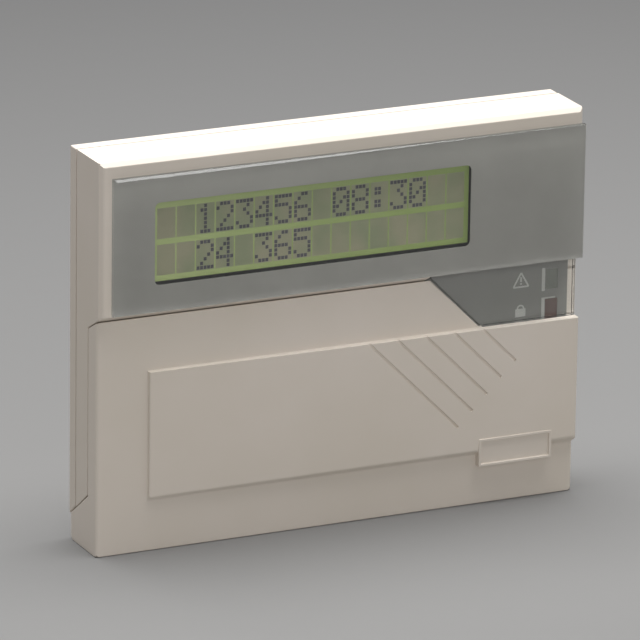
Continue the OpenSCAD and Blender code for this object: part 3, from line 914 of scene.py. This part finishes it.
# %% Key signs
legend_ink = ink("legend_ink", (52, 54, 56), (60, 62, 64))
ALERT_INKS = {
    "fire": ink("flame_ink", (176, 44, 34), (188, 52, 40)),
    "aid": ink("aid_ink", (36, 92, 150), (44, 102, 160)),
    "panic": ink("alarm_ink", (176, 44, 34), (188, 52, 40)),
}
for node in KEYS:
    x0, x1, _, top, up0, up1 = span(node)
    x, up, out = (x0 + x1) / 2, (up0 + up1) / 2, top - DISH
    sign = node.removeprefix("key_")
    made = ALERT_INKS.get(sign, legend_ink)
    if sign in KEY_SIGNS:
        outlines = moved(KEY_SIGNS[sign], x, up)
        printed(node + "_sign", outlines, out, made, node + "_cap", "grey_print")
    else:
        digit = digit_solid(sign, x, up, out)
        piece(node + "_sign", digit, made, node + "_cap", "grey_print")
print("signs:", len(KEYS))

# %% [markdown]
# ## The card in the door
#
# A white card is stuck to the inside of the door for the owner's notes. It faces the wall while
# the door is shut, so its rules are printed on the face nearer to the wall.

# %% Card and its rules
card = ink("card_stock", (226, 225, 220), (234, 233, 228), 0.75)
dress(card, "door_label")
CARD = span("door_label")
RULES = 6
RULE_MARGIN = 3
RULE_LEFT = 14
TICK_BOX = (4, 10, 2.6)
rules = []
for row in range(RULES):
    up = CARD[4] + RULE_MARGIN + row * (CARD[5] - CARD[4] - 7) / (RULES - 1)
    rules.append(bar(CARD[0] + RULE_LEFT, up, CARD[1] - RULE_MARGIN, up + 0.25))
    rules.append(bar(CARD[0] + TICK_BOX[0], up, CARD[0] + TICK_BOX[1], up + TICK_BOX[2]))
printed("card_rules", rules, CARD[2] - INK_STEP, legend_ink, "door", "grey_print")
print("card:", RULES, "rules")

# %% [markdown]
# ## Metal, rubber and boards
#
# Most of the parts inside keep the shape that the frame gives them. They still get true
# finishes, because they show when the door is open or the panel is seen from behind. Metal is
# a rough mirror with fine drawn lines. A circuit board is laminate under green lacquer, and its
# copper shows as paler lines, for which the borders of a Voronoi pattern in city blocks serve.

# %% Metals
DRAWN_LINE = 0.3
DRAWN_LONG = (1, 1, 12)


def metal(name, dark, light, shiny, dull):
    made = finish(name, Metallic=1.0)
    drift(made, noise(made, 6, 3), tone(dark), tone(light))
    gloss(made, noise(made, DRAWN_LINE, 2, DRAWN_LONG), shiny, dull)
    grain(made, noise(made, DRAWN_LINE, 2, DRAWN_LONG), 0.004, 0.5)
    return made


steel = metal("zinc_plated_steel", (176, 176, 172), (198, 198, 194), 0.24, 0.42)
bezel_black = metal("blackened_steel", (34, 35, 36), (46, 47, 48), 0.45, 0.6)
can = metal("crystal_can", (184, 184, 182), (204, 204, 200), 0.2, 0.3)
dress(steel, "lcd_screws", "board_screws", "terminal_screws", "door_hinge_pins")
dress(bezel_black, "lcd_bezel")
dress(can, "crystal")

# %% Circuit boards
COPPER_PITCH = 3.2


def lacquer(name, dark, light):
    made = finish(name, Specular_IOR_Level=0.5)
    copper = add(made, "ShaderNodeTexVoronoi", feature="DISTANCE_TO_EDGE", distance="MANHATTAN")
    copper.inputs["Scale"].default_value = 1 / (COPPER_PITCH * MM)
    link(made, metres(made), copper.inputs["Vector"])
    drift(made, copper.outputs["Distance"], tone(light), tone(dark), 0.04, 0.07)
    gloss(made, noise(made, 5, 3), 0.22, 0.36)
    grain(made, copper.outputs["Distance"], 0.02, 0.4)
    return made


dress(lacquer("green_lacquer", (20, 72, 46), (34, 98, 62)), "circuit_board", "lcd_board")

# %% Rubber, chips and lamps
LET_THROUGH = 0.35


def rubber(name, dark, light, dull=0.75):
    return moulded(name, dark, light, dull - 0.12, dull, 0.2, 0.01)


def glowing(name, dark, light):
    """Tinted resin that lets some light through."""
    made = finish(name, Transmission_Weight=LET_THROUGH, IOR=1.5)
    drift(made, noise(made, 3, 2), tone(dark), tone(light))
    gloss(made, noise(made, 1.5, 2), 0.12, 0.28)
    return made


dress(rubber("silicone_mat", (176, 176, 170), (186, 186, 180)), "key_mat")
dress(rubber("carbon_pill", (26, 26, 27), (34, 34, 35), 0.9), "key_contacts")
dress(rubber("chip_epoxy", (34, 34, 36), (42, 42, 44), 0.6), "microcontroller", "voltage_regulator")
dress(black, "lcd_header", "buzzer", "tamper_switch")
dress(red, "tamper_plunger")
dress(green_block, "terminal_block")
dress(moulded("capacitor_foil", (32, 44, 78), (40, 54, 92), 0.25, 0.35), "capacitors")
dress(moulded("resistor_lacquer", (150, 168, 178), (166, 182, 190), 0.3, 0.42), "resistors")
dress(glowing("amber_resin", (196, 128, 40), (214, 148, 58)), "trouble_led")
dress(glowing("red_resin", (164, 34, 28), (186, 46, 36)), "armed_led")
dress(glowing("smoky_pipe", (138, 140, 130), (146, 148, 138)), "trouble_light_pipe")
dress(glowing("red_pipe_resin", (124, 96, 88), (132, 104, 96)), "armed_light_pipe")
dress(glowing("milky_guide", (214, 226, 190), (224, 234, 202)), "lcd_light_guide")
dress(glowing("green_chips", (150, 196, 70), (170, 212, 90)), "lcd_backlights")

# %% Contact strips
STRIPE_PITCH = 1.2
strips = finish("striped_rubber", Roughness=0.7)
bands = add(strips, "ShaderNodeTexWave", wave_type="BANDS", bands_direction="X")
bands.inputs["Scale"].default_value = 1 / (STRIPE_PITCH * MM)
link(strips, metres(strips), bands.inputs["Vector"])
drift(strips, bands.outputs["Fac"], tone((30, 30, 31)), tone((168, 166, 160)), 0.4, 0.6)
dress(strips, "lcd_contact_strips")
print("finishes:", len(bpy.data.materials))

# %% [markdown]
# ## Floor, light and world
#
# The panel stands on pale grey card. Its colour is painted darker towards the back, as painted
# shade for the light falling off with distance. A large soft light hangs above and a little
# behind it, so the top faces are nearly white and the front is softly lit. A weaker one stands
# far in front to the left. The rest comes from an even white world.

# %% Floor
FLOOR_REACH = 3
FLOOR_GAP = 0.05
NEAR_TONE = (0.222, 0.220, 0.217)
FAR_PAINTED_SHADE = (0.135, 0.135, 0.135)
level = low.z - FLOOR_GAP * MM
corners = [(x * FLOOR_REACH, y * FLOOR_REACH, level) for x, y in bar(-1, -1, 1, 1)]
floor_mesh = bpy.data.meshes.new("floor")
floor_mesh.from_pydata(corners, [], [(0, 1, 2, 3)])
floor = bpy.data.objects.new("floor", floor_mesh)
bpy.context.scene.collection.objects.link(floor)
paper = finish("grey_card_painted_shade", Specular_IOR_Level=0.25)
# The card is painted darker towards the back: painted shade that stands in for the fall of the
# light with distance.
away = add(paper, "ShaderNodeSeparateXYZ")
link(paper, metres(paper), away.inputs["Vector"])
painted_falloff = add(paper, "ShaderNodeMapRange", interpolation_type="SMOOTHSTEP")
painted_falloff.inputs["From Min"].default_value = -0.1
painted_falloff.inputs["From Max"].default_value = 1.0
link(paper, away.outputs["Y"], painted_falloff.inputs["Value"])
drift(paper, painted_falloff.outputs["Result"], NEAR_TONE, FAR_PAINTED_SHADE, 0.0, 1.0)
gloss(paper, noise(paper, 20, 3), 0.75, 0.9)
grain(paper, noise(paper, 0.6, 3), 0.02, 0.5)
floor_mesh.materials.append(paper)
floor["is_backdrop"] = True
print("floor", round((low.z - level) / MM, 3), "mm below the panel")

# %% Light
def softbox(name, spot, target, width, height, power):
    """Rectangular light that faces a target."""
    lamp = bpy.data.lights.new(name, "AREA")
    lamp.shape = "RECTANGLE"
    lamp.size = width
    lamp.size_y = height
    lamp.energy = power
    box = bpy.data.objects.new(name, lamp)
    box.location = spot
    box.rotation_euler = (Vector(target) - Vector(spot)).to_track_quat("-Z", "Y").to_euler()
    bpy.context.scene.collection.objects.link(box)
    print(name, power, "W")


softbox("overhead", (0.05, 0.1, 1.1), (0.0, 0.02, 0), 1.3, 0.9, 26)
softbox("front_fill", (-0.3, -1.7, 0.6), (0, 0, 0), 1.4, 1.0, 7)
WORLD_STRENGTH = 0.2
world = bpy.data.worlds.new("studio")
world.use_nodes = True
sky = world.node_tree.nodes["Background"]
sky.inputs["Color"].default_value = (1, 1, 1, 1)
sky.inputs["Strength"].default_value = WORLD_STRENGTH
bpy.context.scene.world = world
bpy.context.scene.view_settings.view_transform = "Standard"

# %% Sizes and finish
visual_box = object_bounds()
sides = zip((*low, *high), (*visual_box[0], *visual_box[1]))
print("largest difference in mm:", max(abs(a - b) / MM for a, b in sides))
